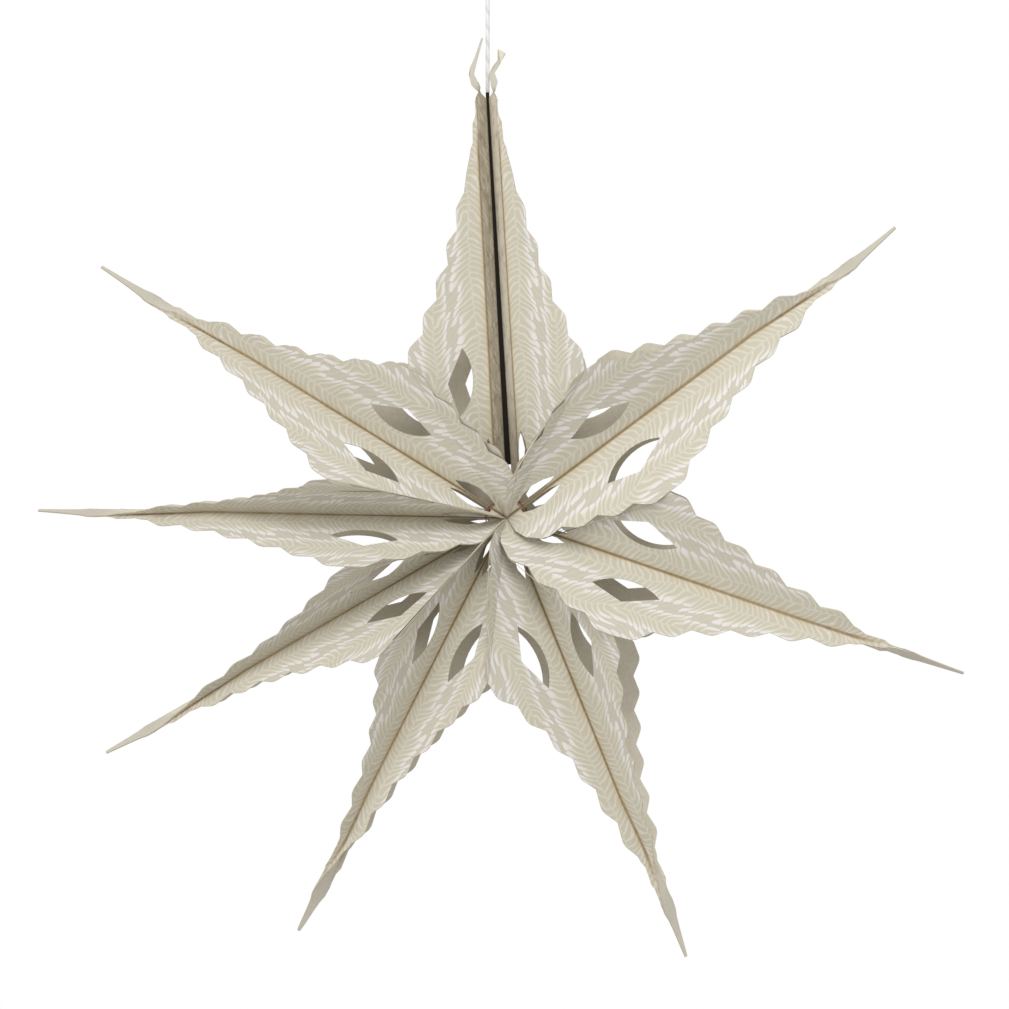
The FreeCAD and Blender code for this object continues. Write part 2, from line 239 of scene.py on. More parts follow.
class Leaf:
    """One folded leaf. turn is +1 if its ridge lies anticlockwise of its seam, and -1 if clockwise."""

    def __init__(self, name, seam, turn, ridge, offset=0.0, strip_tilt=0.0, start=0.0):
        self.name = name
        angle, share, longer, self.curl_side, self.curl_front, self.twist = seam
        self.length = POINT_LENGTH * share + longer
        self.turn = turn
        self.out = direction(angle)
        self.ccw = direction(angle + 90)
        self.side = self.ccw * turn
        self.ridge_angle, front_share, back_share, self.lean, self.bend = ridge
        self.ridge_radius = {1: RIDGE_RADIUS * front_share, -1: RIDGE_RADIUS * back_share}
        self.ridge_height = {1: 0.0, -1: 0.0}
        self.fold_crossing = 0.0
        self.phase = 0.0
        self.start = start
        middle = PAPER + offset + STRIP_HALF * math.sin(strip_tilt)
        self.strip_across = self.side * math.sin(strip_tilt) - BACK * math.cos(strip_tilt)
        self.strip_inside = self.side * math.cos(strip_tilt) + BACK * math.sin(strip_tilt)
        self.strip_origin = CENTRE + self.side * middle

    def hinge(self, face):
        return self.strip_origin + self.strip_across * (face * STRIP_HALF)

    def ridge_corner(self, face):
        in_plane = CENTRE + direction(self.ridge_angle) * self.ridge_radius[face]
        return in_plane - BACK * (face * self.ridge_height[face])

    def wing_across(self, face):
        rise = self.ridge_corner(face) - self.hinge(face)
        return unit(rise - self.out * rise.dot(self.out))

    def fin_normal(self, face):
        sideways = direction(self.ridge_angle + 90)
        ridge_foot = CENTRE + direction(self.ridge_angle) * self.fold_crossing - BACK * (face * STRIP_HALF)
        upright = unit(np.cross(sideways, self.ridge_corner(face) - ridge_foot))
        if upright.dot(BACK) * face > 0:
            upright = -upright
        lean = math.radians(self.lean)
        return sideways * math.cos(lean) - upright * math.sin(lean)

    def crease(self, face):
        """Both ends of the fold between wing and fin, in leaf coordinates with b above zero."""
        normal = self.fin_normal(face)
        rise = self.ridge_corner(face) - self.hinge(face)
        foot = np.array((rise.dot(normal) / self.out.dot(normal), STRIP_HALF))
        reach = rise.dot(self.out)
        width = np.linalg.norm(rise - self.out * reach)
        return foot, np.array((reach, STRIP_HALF + width))

    def crease_frame(self, face):
        foot, corner = self.crease(face)
        along = unit(corner - foot)
        return foot, along, np.array((-along[1], along[0])), np.linalg.norm(corner - foot)

    def inner_end(self, face):
        return max(self.crease(face)[0][0] + STRIP_START[face], self.start)

    def outline_corner(self, face):
        """Outer end of the ridge, drawn in a little on two leaves behind."""
        trim = TRIMS_BEHIND.get(self.name, 0.0) if face == -1 else 0.0
        along = self.crease_frame(face)[1]
        return self.crease(face)[1] - along * trim

    def half_outline(self, face):
        corner = self.outline_corner(face)
        foot, along, away, _ = self.crease_frame(face)
        near_end, far_end = FIN_END_NEAR[face], FIN_END_FAR[face]
        if face == 1 and self.ridge_angle == PETAL_RIDGE:
            near_end, far_end = PETAL_NEAR, PETAL_FAR
        near = foot + along * near_end[0] + away * near_end[1]
        far = foot + along * far_end[0] + away * far_end[1]
        hinge_end = np.array((self.inner_end(face), STRIP_HALF))
        points = [hinge_end, np.array((max(near[0], self.start), near[1])), far]
        points += waves(far, corner, INNER_WAVES)
        bow = EDGE_BOWS.get(self.name, EDGE_BOW)
        if face == -1:
            bow += MORE_BOW_BEHIND.get(self.name, 0.0)
        points += waves(corner, np.array(WAVES_END), OUTER_WAVES, bow, TOP_WAVES if self.start else ())
        return points + [np.array(point) for point in (*TAPER, (self.length, TIP_HALF))]

    def outline(self):
        back = [point * (1, -1) for point in self.half_outline(-1)]
        return self.half_outline(1) + back[::-1]

    def cut_outs(self):
        """Rings of points round the cut-outs, a lens and a large kite in each wing."""
        rings = []
        for face in (1, -1):
            foot_a = max(self.crease(face)[0][0], self.start - LENS_LEAD)
            lens_a, lens_b = (0.0, 0.0) if face == 1 else LENS_SHIFTS_BEHIND.get(self.name, LENS_SHIFT_BEHIND)
            rings.append([np.array((a + foot_a + lens_a, (b + lens_b) * face)) for a, b in LENS])
            shift = KITE_SHIFTS.get(self.name, ((0.0, 0.0), (0.0, 0.0)))[0 if face == 1 else 1]
            if shift is None:
                continue
            kite = [np.array(corner) for corner in KITE_CORNERS]
            kite += arc(KITE_CORNERS[2], KITE_FOOT, KITE_CORNERS[0])
            if (self.name, face) == (SLIT_LEAF, 1):
                kite = [np.array((a, SLIT_LINE + (b - SLIT_LINE + SLIT_LIFT) * SLIT_SHARE)) for a, b in kite]
            rings.append([(point + shift) * (1, face) for point in kite])
        return rings

    def fold(self, flat):
        """Lays flat leaf points (a, b) into space: the strip, then the wings, then the fins."""
        a, b = flat[:, 0], flat[:, 1]
        space = self.strip_origin + a[:, None] * self.out + b[:, None] * self.strip_across
        for face in (1, -1):
            reach = b * face - STRIP_HALF
            foot, along, away, size = self.crease_frame(face)
            mirrored = np.stack((a, b * face), axis=1) - foot
            lengthways = mirrored @ along
            beyond = mirrored @ away
            on_wing = reach > 0
            wing = self.hinge(face) + a[:, None] * self.out + reach[:, None] * self.wing_across(face)
            space = np.where(on_wing[:, None], wing, space)
            on_fin = on_wing & (beyond > 0)
            foot_point = self.hinge(face) + foot[0] * self.out
            ridge_line = unit(self.ridge_corner(face) - foot_point)
            normal = self.fin_normal(face)
            upright = np.cross(normal, ridge_line)
            if upright.dot(BACK) * face > 0:
                upright = -upright
            part = np.clip(lengthways / size, 0, 1)
            most = math.radians(self.bend) if face == 1 else 0.0
            bend_reach = PETAL_REACH if self.ridge_angle == PETAL_RIDGE else FIN_BEND_REACH
            bend = most * np.clip(part / bend_reach, 0, 1) ** 0.8
            up = np.cos(bend)[:, None] * upright + np.sin(bend)[:, None] * normal
            fin = foot_point + lengthways[:, None] * ridge_line + beyond[:, None] * up
            space = np.where(on_fin[:, None], fin, space)
        return self.curl(flat, space)

    def curl(self, flat, space):
        """Twists, curls and bows the narrow tip, and lets the wings flutter a little."""
        a, b = flat[:, 0], flat[:, 1]
        if self.start:
            space = self.tongue(flat, space)
        else:
            part = np.clip((a - TWIST_FROM) / (self.length - TWIST_FROM), 0, 1)
            turn = np.radians(self.twist) * eased(part)
            arm = space - CENTRE
            along = arm @ self.out
            arm = arm - along[:, None] * self.out
            sideways, backwards = arm @ self.ccw, arm @ BACK
            space = (CENTRE + along[:, None] * self.out
                     + (sideways * np.cos(turn) - backwards * np.sin(turn))[:, None] * self.ccw
                     + (sideways * np.sin(turn) + backwards * np.cos(turn))[:, None] * BACK)
            part = np.clip((a - CURL_FROM) / (self.length - CURL_FROM), 0, 1) ** 2
            space = space + (part * self.curl_side)[:, None] * self.ccw
            space = space - (part * self.curl_front)[:, None] * BACK
            part = np.clip((a - BOW_FROM) / (self.length - BOW_FROM), 0, 1)
            bow = TIP_BOWS[self.name.split("_leaf")[0]] * np.sin(math.pi * part)
            space = space + bow[:, None] * self.ccw
        loose = np.clip((a - FLUTTER_FROM) / FLUTTER_GROWTH, 0, 1)
        loose = loose * np.clip((np.abs(b) - STRIP_HALF) / FLUTTER_GROWTH_ACROSS, 0, 1)
        small = np.sin(a / SHORT_WAVE + 2.3 * self.phase + b / SLANTING_WAVE)
        flutter = (np.sin(a / LONG_WAVE + self.phase) + 0.6 * small) * loose
        return space + (flutter * FLUTTER)[:, None] * BACK

    def tongue(self, flat, space):
        """The loose end of a leaf of the top point follows a bent path beside the cord."""
        a, b = flat[:, 0], flat[:, 1]
        path = np.array(TONGUES[self.turn])
        sizes = np.linalg.norm(np.diff(path, axis=0), axis=1)
        reached = np.concatenate([[0], np.cumsum(sizes)])
        reached = TONGUE_FROM + reached * (self.length - TONGUE_FROM) / sizes.sum()
        fine = np.linspace(reached[0] - TONGUE_BLEND, reached[-1] + TONGUE_BLEND, TONGUE_SAMPLES)
        line = np.stack([np.interp(fine, reached, path[:, i]) for i in range(3)], axis=1)
        soft = np.array([line[max(0, i - 5):i + 6].mean(axis=0) for i in range(len(line))])
        soft[0], soft[-1] = line[0], line[-1]
        at, ahead, behind = (
            np.stack([np.interp(place, fine, soft[:, i]) for i in range(3)], axis=1)
            for place in (a, a + TONGUE_LOOK, a - TONGUE_LOOK)
        )
        along = ahead - behind
        along /= np.maximum(np.linalg.norm(along, axis=1), 1e-6)[:, None]
        across = np.cross(along, BACK) * self.turn
        across /= np.maximum(np.linalg.norm(across, axis=1), 1e-6)[:, None]
        laid = at - across * (b * TONGUE_NARROWED)[:, None]
        share = np.clip((a - TONGUE_FROM + TONGUE_BLEND) / (2 * TONGUE_BLEND), 0, 1)
        share = eased(share)[:, None]
        return space * (1 - share) + laid * share


def wave_height(place):
    """Height of a blunt wave at a place from 0 to 1 along it."""
    rise = np.interp(place, list(WAVE_RISE), list(WAVE_RISE.values()))
    return float(rise) * WAVE_CREST


def waves(start, end, count, bow=0.0, faded=()):
    """Waves on an edge that is bowed inwards by a little at its middle; the last ones may be lower."""
    heights = [1.0] * (count - len(faded)) + list(faded)
    run = end - start
    outward = unit(np.array((-run[1], run[0])))
    points = []
    for wave in range(count):
        for place in WAVE_PLACES:
            along = (wave + place) / count
            height = wave_height(place) * heights[wave]
            points.append(start + run * along + outward * (height - bow * math.sin(math.pi * along)))
    return points


def arc(start, middle, end):
    """Points strictly between start and end on the circle through three points."""
    (ax, ay), (bx, by), (cx, cy) = start, middle, end
    d = 2 * (ax * (by - cy) + bx * (cy - ay) + cx * (ay - by))
    ux = ((ax**2 + ay**2) * (by - cy) + (bx**2 + by**2) * (cy - ay) + (cx**2 + cy**2) * (ay - by)) / d
    uy = ((ax**2 + ay**2) * (cx - bx) + (bx**2 + by**2) * (ax - cx) + (cx**2 + cy**2) * (bx - ax)) / d
    radius = math.hypot(ax - ux, ay - uy)
    first = math.atan2(ay - uy, ax - ux)
    last = math.atan2(cy - uy, cx - ux)
    if last > first:
        last -= 2 * math.pi
    turns = np.linspace(first, last, ARC_STEPS + 1)[1:-1]
    return [np.array((ux + radius * math.cos(t), uy + radius * math.sin(t))) for t in turns]


def inside_ring(points, ring):
    """True for each point that lies inside a closed ring."""
    x, y = points[:, 0], points[:, 1]
    inside = np.zeros(len(points), dtype=bool)
    for (x0, y0), (x1, y1) in zip(ring, ring[1:] + ring[:1]):
        crosses = (y0 > y) != (y1 > y)
        if y0 != y1:
            inside ^= crosses & (x < (x1 - x0) * (y - y0) / (y1 - y0) + x0)
    return inside


def flat_mesh(leaf):
    """Triangles of the flat leaf, dense enough to bend, with the folds as edges."""
    rings = [leaf.outline()] + leaf.cut_outs()
    points = []
    edges = []
    for ring in rings:
        first = len(points)
        points += ring
        count = len(ring)
        edges += [(first + i, first + (i + 1) % count) for i in range(count)]
    for face in (1, -1):
        foot, corner = leaf.crease(face)[0], leaf.outline_corner(face)
        for start, end in (
            ((leaf.inner_end(face) - HINGE_LEAD, STRIP_HALF), (HINGE_END, STRIP_HALF)),
            (foot, corner),
        ):
            edges.append((len(points), len(points) + 1))
            points += [np.array(start) * (1, face), np.array(end) * (1, face)]
    rows = np.arange(-GRID_HALF_WIDTH, GRID_HALF_WIDTH + 1, GRID_STEP * GRID_ROW_SHARE)
    grid = np.array([
        (a + (GRID_STEP / 2 if row % 2 else 0), b)
        for row, b in enumerate(rows)
        for a in np.arange(GRID_START, leaf.length, GRID_STEP)
    ])
    grid = grid[inside_ring(grid, rings[0])]
    placed = [Vector(p) for p in points] + [Vector(p) for p in grid]
    verts, _, faces, _, _, _ = geometry.delaunay_2d_cdt(placed, edges, [], 0, 1e-4)
    flat = np.array([(v.x, v.y) for v in verts])
    triangles = np.array([f for f in faces if len(f) == 3])
    centres = flat[triangles].mean(axis=1)
    keep = inside_ring(centres, rings[0])
    for ring in rings[1:]:
        keep &= ~inside_ring(centres, ring)
    triangles = triangles[keep]
    used, triangles = np.unique(triangles, return_inverse=True)
    return flat[used], triangles.reshape(-1, 3)


def leaf_piece(leaf):
    """The leaf as a sheet of real thickness, printed on the outside and plain inside."""
    flat, triangles = flat_mesh(leaf)
    inner = leaf.fold(flat)
    corner = inner[triangles]
    normals = np.cross(corner[:, 1] - corner[:, 0], corner[:, 2] - corner[:, 0])
    facing = np.cross(leaf.out, leaf.strip_across).dot(leaf.strip_inside)
    flat_corner = flat[triangles]
    first, second = flat_corner[:, 1] - flat_corner[:, 0], flat_corner[:, 2] - flat_corner[:, 0]
    wound = np.sign(first[:, 0] * second[:, 1] - first[:, 1] * second[:, 0]) * np.sign(facing)
    triangles = np.where(wound[:, None] > 0, triangles, triangles[:, ::-1])
    normals = normals * wound[:, None]
    at_point = np.zeros_like(inner)
    for i in range(3):
        np.add.at(at_point, triangles[:, i], normals)
    at_point /= np.linalg.norm(at_point, axis=1)[:, None]
    outer = inner - at_point * PAPER
    count = len(flat)
    sides = np.concatenate([triangles[:, [0, 1]], triangles[:, [1, 2]], triangles[:, [2, 0]]])
    sides = dict.fromkeys(map(tuple, sides.tolist()))
    rim = [(i, j) for i, j in sides if (j, i) not in sides]
    faces = triangles.tolist()
    faces += (triangles[:, ::-1] + count).tolist()
    faces += [(j, i, i + count, j + count) for i, j in rim]
    mesh = bpy.data.meshes.new(leaf.name)
    mesh.from_pydata((np.concatenate([inner, outer]) * MM).tolist(), [], faces)
    on_strip = np.abs(flat_corner[:, :, 1].mean(axis=1)) < STRIP_HALF
    outside = np.where(on_strip & (leaf.start > 0), SLOT_STRIP, PRINTED)
    slots = np.concatenate([np.full(len(triangles), PLAIN), outside, np.full(len(rim), EDGE)])
    mesh.polygons.foreach_set("material_index", slots.astype(np.int32))
    layer = mesh.uv_layers.new(name="flat")
    corners = np.empty(len(mesh.loops), dtype=np.int32)
    mesh.loops.foreach_get("vertex_index", corners)
    places = np.concatenate([flat, flat])[corners] / MAP_SCALE
    layer.uv.foreach_set("vector", places.astype(np.float32).ravel())
    mesh.polygons.foreach_set("use_smooth", np.ones(len(mesh.polygons), dtype=bool))
    mesh.set_sharp_from_angle(angle=SHARP_ANGLE)
    mesh.update()
    piece = add_object("sheet_" + leaf.name, mesh)
    for material in (printed_paper, plain_paper, paper_edge, slot_paper[leaf.turn]):
        mesh.materials.append(material)
    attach(piece, "root")
    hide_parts(leaf.name)


def make_leaves():
    """All sixteen leaves, two for each seam, in the order of the ridges."""
    shaker = random.Random(7)
    leaves = []
    for number, ridge in enumerate(RIDGES):
        pair = []
        for step, turn in ((0, 1), (1, -1)):
            name, angle, *tip = SEAMS[(number + step) % len(SEAMS)]
            if number + step == len(SEAMS):
                angle += 360
            options = {}
            if name == "top":
                angle += SLOT_TURN[turn]
                options = {"offset": SLOT_OFFSET[turn], "strip_tilt": STRIP_TILT, "start": SLOT_LEAF_START}
            side = "ccw" if turn == 1 else "cw"
            leaf = Leaf(f"{name}_leaf_{side}", (angle, *tip), turn, ridge, **options)
            leaf.phase = shaker.uniform(0, 6)
            pair.append(leaf)
        strip_front = sum(-leaf.strip_across[1] * STRIP_HALF for leaf in pair) / 2
        heights = {}
        for face in (1, -1):
            side = sum((leaf.ridge_corner(face) - leaf.hinge(face)).dot(leaf.side) for leaf in pair) / 2
            heights[face] = strip_front + math.sqrt((LEAF_HALF_WIDTH - STRIP_HALF) ** 2 - side**2)
        half_cell = math.acos(pair[0].out.dot(pair[1].out)) / 2
        for leaf in pair:
            leaf.ridge_height = heights
            leaf.fold_crossing = PAPER / math.sin(half_cell)
        leaves += pair
    return leaves


class Field:
    """A number that varies over a surface, built up from math nodes of one material."""

    def __init__(self, tree, socket):
        self.tree = tree
        self.socket = socket

    def math(self, operation, *others):
        node = self.tree.nodes.new("ShaderNodeMath")
        node.operation = operation
        for place, value in enumerate((self, *others)):
            if isinstance(value, Field):
                self.tree.links.new(value.socket, node.inputs[place])
            else:
                node.inputs[place].default_value = value
        return Field(self.tree, node.outputs[0])

    def __add__(self, other):
        return self.math("ADD", other)

    def __sub__(self, other):
        return self.math("SUBTRACT", other)

    def __mul__(self, other):
        return self.math("MULTIPLY", other)

    def __truediv__(self, other):
        return self.math("DIVIDE", other)

    def __pow__(self, other):
        return self.math("POWER", other)

    def magnitude(self):
        return self.math("ABSOLUTE")

    def floor(self):
        return self.math("FLOOR")

    def remainder(self):
        return self.math("FRACT")

    def smooth(self, low, high, start=0.0, end=1.0):
        """Runs smoothly from start to end while the field runs from low to high."""
        node = self.tree.nodes.new("ShaderNodeMapRange")
        node.interpolation_type = "SMOOTHSTEP"
        self.tree.links.new(self.socket, node.inputs["Value"])
        for name, value in (("From Min", low), ("From Max", high), ("To Min", start), ("To Max", end)):
            if isinstance(value, Field):
                self.tree.links.new(value.socket, node.inputs[name])
            else:
                node.inputs[name].default_value = value
        return Field(self.tree, node.outputs["Result"])


def noise(tree, vector, scale, detail=2.0, roughness=0.5):
    node = tree.nodes.new("ShaderNodeTexNoise")
    node.inputs["Scale"].default_value = scale
    node.inputs["Detail"].default_value = detail
    node.inputs["Roughness"].default_value = roughness
    tree.links.new(vector, node.inputs["Vector"])
    return Field(tree, node.outputs["Fac"])


def combined(tree, x, y):
    node = tree.nodes.new("ShaderNodeCombineXYZ")
    tree.links.new(x.socket, node.inputs[0])
    tree.links.new(y.socket, node.inputs[1])
    return node.outputs[0]


def blend(tree, amount, first, second):
    """Mixes two colours, each a tuple or a socket, and returns the socket."""
    node = tree.nodes.new("ShaderNodeMix")
    node.data_type = "RGBA"
    tree.links.new(amount.socket, node.inputs["Factor"])
    for name, colour in (("A", first), ("B", second)):
        socket = next(i for i in node.inputs if i.name == name and i.type == "RGBA")
        if isinstance(colour, tuple):
            socket.default_value = (*colour, 1)
        else:
            tree.links.new(colour, socket)
    return next(o for o in node.outputs if o.type == "RGBA")


def new_material(name, colour, roughness=0.9):
    material = bpy.data.materials.new(name)
    material.use_nodes = True
    tree = material.node_tree
    shader = tree.nodes["Principled BSDF"]
    shader.inputs["Base Color"].default_value = (*colour, 1)
    shader.inputs["Roughness"].default_value = roughness
    shader.inputs["Specular IOR Level"].default_value = 0.25
    return material, tree, shader


def add_bump(tree, shader, height, distance):
    node = tree.nodes.new("ShaderNodeBump")
    node.inputs["Distance"].default_value = distance
    node.inputs["Strength"].default_value = 1.0
    tree.links.new(height.socket, node.inputs["Height"])
    tree.links.new(node.outputs[0], shader.inputs["Normal"])


def sheet_place(tree):
    """Where a point lies on the flat leaf, in millimetres: along the seam and across it."""
    node = tree.nodes.new("ShaderNodeUVMap")
    node.uv_map = "flat"
    split = tree.nodes.new("ShaderNodeSeparateXYZ")
    tree.links.new(node.outputs[0], split.inputs[0])
    return Field(tree, split.outputs[0]) * MAP_SCALE, Field(tree, split.outputs[1]) * MAP_SCALE


# The printed fronds, in millimetres: rows that run along the leaf, with curved strokes on both sides
ROW_HEIGHT = 29.0
STROKE_PITCH = 4.3
STROKE_SWEEP = 13.0
STROKES_IN_GROUP = 5
SHORTEST_STROKE = 0.62
WARP_ALONG = 24.0
WARP_ACROSS = 20.0
ROW_STAGGER = 3.7
SIDE_STAGGER = 2.8
PAPER_BUMP = 0.0004
CORD_BUMP = 0.0003

BEIGE = (0.505, 0.475, 0.395)
CREAM = (0.62, 0.585, 0.485)
PALE = (0.675, 0.65, 0.64)
# Painted shade: dark brown deep in the fold of each seam
VALLEY_SHADE = (0.17, 0.11, 0.045)
# Painted shade: a warm brown beside the fold of each seam
WARM_FOLD_SHADE = (0.52, 0.43, 0.25)
# Painted shade: a brown for blots in the folds and on the strips of the slot
SHADE_BROWN = (0.22, 0.17, 0.11)
# Grounds of the slot's strips: brown as painted shade, pale as painted light against the slot's shadow
SHADED_STRIP_BROWN = (0.39, 0.345, 0.26)
LIT_STRIP_PALE = (0.68, 0.63, 0.52)
# The inside colours are lightened as painted light, standing in for light that shines through the thin paper
INSIDE_DARK = (0.53, 0.495, 0.41)
INSIDE_LIGHT = (0.62, 0.58, 0.49)
INSIDE_CLOUD = (0.46, 0.42, 0.33)
STRAND_DARK = (0.58, 0.58, 0.58)
STRAND_LIGHT = (0.70, 0.70, 0.70)
TIP_GREY = (0.45, 0.425, 0.36)
TIP_GREY_FROM = 244.0
TIP_GREY_TO = 264.0
TIP_GREY_SHARE = 0.7


def paper_fibres(tree, u, v):
    """Fine streaks of handmade paper, drawn out along the leaf."""
    return noise(tree, combined(tree, u * 0.35, v), 0.9, 4.0, 0.65)


def greyed_tip(tree, u, colour):
    """The same colour, fading to grey on the twisted tip."""
    return blend(tree, u.smooth(TIP_GREY_FROM, TIP_GREY_TO, 0.0, TIP_GREY_SHARE), colour, TIP_GREY)


def fronds(tree, u, v):
    """How much print lies on a point, and how near it is to the broad head of its stroke."""
    plane = combined(tree, u, v)
    u = u + (noise(tree, plane, 0.03) - 0.5) * WARP_ALONG
    v = v + (noise(tree, combined(tree, v, u), 0.025) - 0.5) * WARP_ACROSS
    row = (v / ROW_HEIGHT).floor()
    sign = (row * 0.5).remainder() * 4 - 1
    across = ((v / ROW_HEIGHT).remainder() * 2 - 1).magnitude()
    side = (v / (ROW_HEIGHT / 2)).floor()
    shifted = u * sign + row * ROW_STAGGER + side * SIDE_STAGGER
    swept = shifted - across ** 1.5 * STROKE_SWEEP
    stroke = swept / STROKE_PITCH
    in_group = (stroke.floor() / STROKES_IN_GROUP).remainder()
    reach = in_group * (1 - SHORTEST_STROKE) + SHORTEST_STROKE
    part = across / reach
    width = (part ** 3.0 * 0.50 + 0.12) * part.smooth(0.90, 1.10, 1.0, 0.0)
    off_middle = (stroke.remainder() - 0.5).magnitude()
    printed = (width - off_middle).smooth(-0.13, 0.14)
    head = part.smooth(0.50, 0.92)
    stem = across.smooth(0.02, 0.06, 0.5, 0.0)
    return printed.math("MAXIMUM", stem), head


def printed_material():
    material, tree, shader = new_material("printed_paper", BEIGE)
    u, v = sheet_place(tree)
    plane = combined(tree, u, v)
    printed, head = fronds(tree, u, v)
    fibres = paper_fibres(tree, u, v)
    cloudy = noise(tree, plane, 0.06, 3.0)
    ink = blend(tree, head, CREAM, PALE)
    worn = printed * cloudy.smooth(0.25, 0.5, 0.72, 1.0) * fibres.smooth(0.30, 0.5, 0.78, 1.0)
    colour = blend(tree, worn, BEIGE, ink)
    from_fold = v.magnitude() - STRIP_HALF
    uneven = from_fold + (noise(tree, plane, 0.12) - 0.5) * 5
    tips = u.smooth(225.0, 255.0, 1.0, 0.25)
    # Painted shade: a warm brown beside the fold of the seam, weaker on the tips
    warm_fold_shade = uneven.smooth(0.2, 5.0, 0.55, 0.0) * tips
    colour = blend(tree, warm_fold_shade, colour, WARM_FOLD_SHADE)
    # Painted shade: dark brown deep in the fold by the seam, fading out towards the tips
    deep = from_fold.smooth(-0.4, 1.6, 1.0, 0.0) * u.smooth(225.0, 250.0, 1.0, 0.0)
    colour = blend(tree, deep, colour, VALLEY_SHADE)
    # Painted shade: brown blots within a few millimetres of the fold
    blots = noise(tree, combined(tree, u * 0.6, v), 0.28, 3.0, 0.6)
    fold_shade_blots = blots.smooth(0.60, 0.68) * from_fold.smooth(-1.0, 4.0, 0.5, 0.0)
    colour = blend(tree, fold_shade_blots, colour, SHADE_BROWN)
    colour = greyed_tip(tree, u, colour)
    tree.links.new(colour, shader.inputs["Base Color"])
    add_bump(tree, shader, fibres * 0.6 + cloudy * 2.2 + printed * 0.25, PAPER_BUMP)
    return material


def strip_material(name, slot_shade):
    """A printed strip of the open slot, darkened brown by a share of painted shade along its whole length;
    the paler ground of the less shaded strip is painted light.
    """
    material, tree, shader = new_material(name, BEIGE)
    u, v = sheet_place(tree)
    plane = combined(tree, u, v)
    fibres = paper_fibres(tree, u, v)
    blots = noise(tree, combined(tree, u * 0.45, v * 0.7), 0.25, 4.0, 0.65)
    printed = fronds(tree, u, v)[0]
    # The more shaded strip gets the brown ground of painted shade, the other the pale ground of painted light
    ground = SHADED_STRIP_BROWN if slot_shade > 0.8 else LIT_STRIP_PALE
    colour = blend(tree, printed * 0.5, ground, CREAM)
    # Brown blots, darker edges and lines are painted shade of the slot, scaled by its share
    colour = blend(tree, blots.smooth(0.46, 0.68, 0.0, 0.65 * slot_shade), colour, SHADE_BROWN)
    edges = v.magnitude().smooth(4.2, STRIP_HALF, 0.0, 0.6 * slot_shade)
    colour = blend(tree, edges, colour, SHADE_BROWN)
    lines = (v / 3.1 + (noise(tree, plane, 0.05) - 0.5)).remainder().smooth(0.0, 0.07, 0.45 * slot_shade, 0.0)
    colour = blend(tree, lines, colour, SHADE_BROWN)
    tree.links.new(colour, shader.inputs["Base Color"])
    add_bump(tree, shader, fibres + blots, PAPER_BUMP)
    return material


def plain_side_material():
    material, tree, shader = new_material("plain_paper", (0.5, 0.46, 0.37))
    u, v = sheet_place(tree)
    fibres = paper_fibres(tree, u, v)
    cloudy = noise(tree, combined(tree, u, v), 0.05, 3.0)
    # Painted light: the inside is lighter for the light that comes through the thin paper
    colour = blend(tree, fibres.smooth(0.3, 0.7), INSIDE_DARK, INSIDE_LIGHT)
    colour = blend(tree, cloudy.smooth(0.4, 0.7, 0.0, 0.35), colour, INSIDE_CLOUD)
    colour = greyed_tip(tree, u, colour)
    tree.links.new(colour, shader.inputs["Base Color"])
    add_bump(tree, shader, fibres * 0.6 + cloudy * 2, PAPER_BUMP)
    return material


def cord_material():
    material, tree, shader = new_material("white_cord", (0.66, 0.66, 0.66), 0.8)
    place = tree.nodes.new("ShaderNodeTexCoord")
    split = tree.nodes.new("ShaderNodeSeparateXYZ")
    tree.links.new(place.outputs["Object"], split.inputs[0])
    x, height = Field(tree, split.outputs[0]), Field(tree, split.outputs[2])
    # Painted shade: the darker stripes darken the grooves between the twisted strands
    strands = (x * 900 + height * 620).math("SINE") * 0.5 + 0.5
    fuzz = noise(tree, place.outputs["Object"], 2500.0, 3.0)
    colour = blend(tree, strands.smooth(0.0, 0.5), STRAND_DARK, STRAND_LIGHT)
    tree.links.new(colour, shader.inputs["Base Color"])
    add_bump(tree, shader, strands + fuzz * 0.3, CORD_BUMP)
    return material


printed_paper = printed_material()
# The left strip takes the full painted shade of the slot, the right one a share of it
slot_paper = {1: strip_material("slot_paper_left", 1.0), -1: strip_material("slot_paper_right", 0.6)}
plain_paper = plain_side_material()
paper_edge = new_material("paper_edge", (0.42, 0.37, 0.26))[0]
white_cord = cord_material()
red_thread = new_material("red_thread", (0.26, 0.075, 0.03), 0.8)[0]
painted_shade_tape = new_material("painted_shade_tape", (0.012, 0.010, 0.008), 0.95)[0]

for leaf in make_leaves():
    leaf_piece(leaf)


def cord_piece(ends):
    """The hanging cord, straight up from the tape."""
    curve = bpy.data.curves.new("hanging_cord", "CURVE")
    curve.dimensions = "3D"
    curve.bevel_depth = CORD_DIAMETER / 2 * MM
    curve.bevel_resolution = 6
    curve.use_fill_caps = True
    heights = (-CORD_BELOW, 10.0, 35.0, 60.0, CORD_ABOVE)
    spline = curve.splines.new("NURBS")
    spline.points.add(len(heights) - 1)
    for point, height in zip(spline.points, heights):
        point.co = (0, 0, height * MM, 1)
    spline.order_u = 3
    spline.use_endpoint_u = True
    piece = add_object("cord", curve)
    curve.materials.append(white_cord)
    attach(piece, "root")
    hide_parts("hanging_cord")


def ring_corners(middle, radius):
    """Corners of a thread drawn from seam to seam, each rounded a little."""
    angles = [seam[1] for seam in SEAMS]
    points = []
    for i, angle in enumerate(angles):
        here = middle + direction(angle) * radius
        before = middle + direction(angles[i - 1]) * radius
        after = middle + direction(angles[(i + 1) % len(angles)]) * radius
        points.append(here + unit(before - here) * THREAD_ROUNDING)
        points.append(here + (middle - here) * THREAD_SLACK)
        points.append(here + unit(after - here) * THREAD_ROUNDING)
    return points


